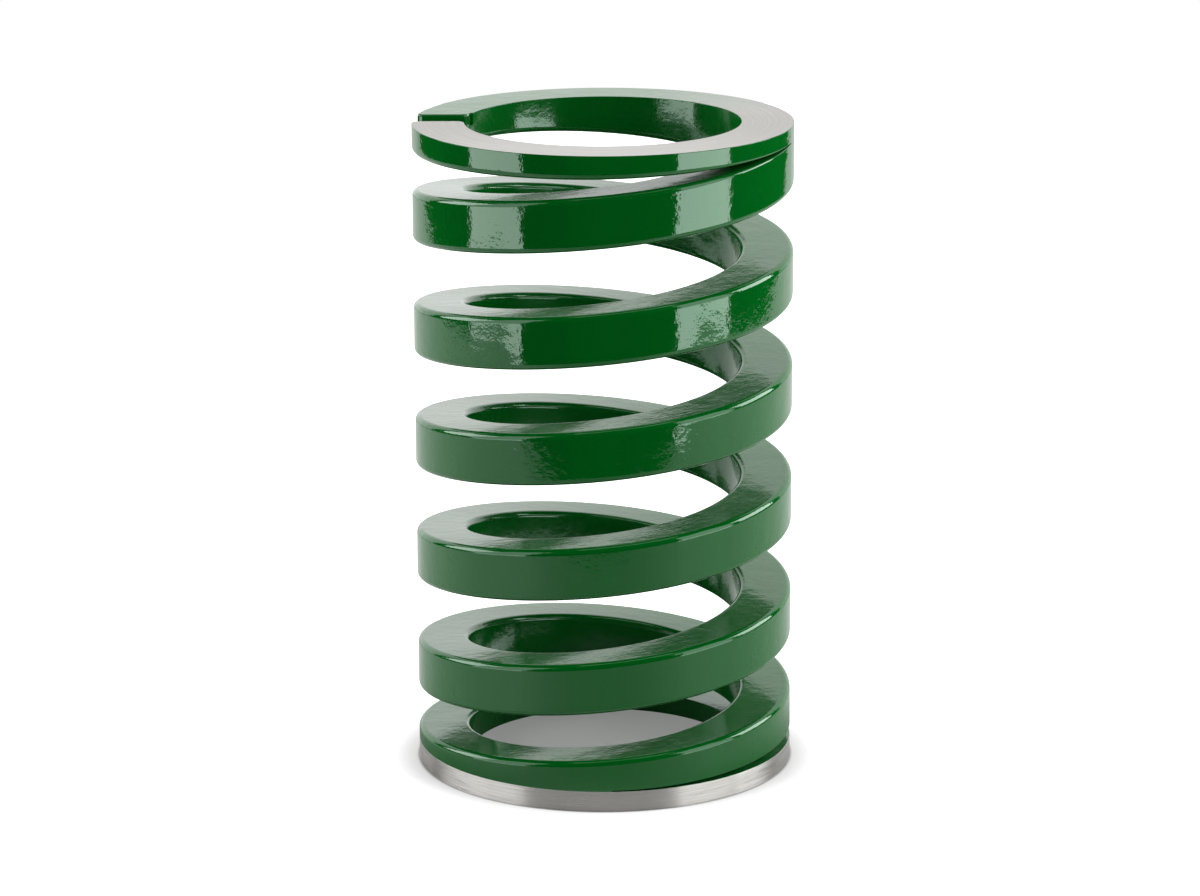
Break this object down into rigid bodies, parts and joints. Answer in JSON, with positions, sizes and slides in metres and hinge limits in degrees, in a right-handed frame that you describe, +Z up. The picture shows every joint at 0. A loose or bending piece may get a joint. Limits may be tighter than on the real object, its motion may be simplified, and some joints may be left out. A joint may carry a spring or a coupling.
{
  "type": "die spring",
  "caption": "Heavy square-wire compression spring, green enamelled, with closed and ground flat ends, bare steel on the upper face and the foot ring",
  "frame": {"origin": "on the spring's axis, in the plane of the ground foot that it stands on", "axes": "+Z up along the spring's axis; +Y away from the viewer, with the slot at the wire's end on the -X side of the upper face"},
  "size_m": [0.05, 0.05, 0.0865],
  "materials": {
    "green_enamel": "glossy green enamel on spring steel; the upper ground face and the outside of the foot ring are bare brushed steel"
  },
  "bodies": {
    "root": {"die_spring": "green_enamel"}
  },
  "joints": []
}
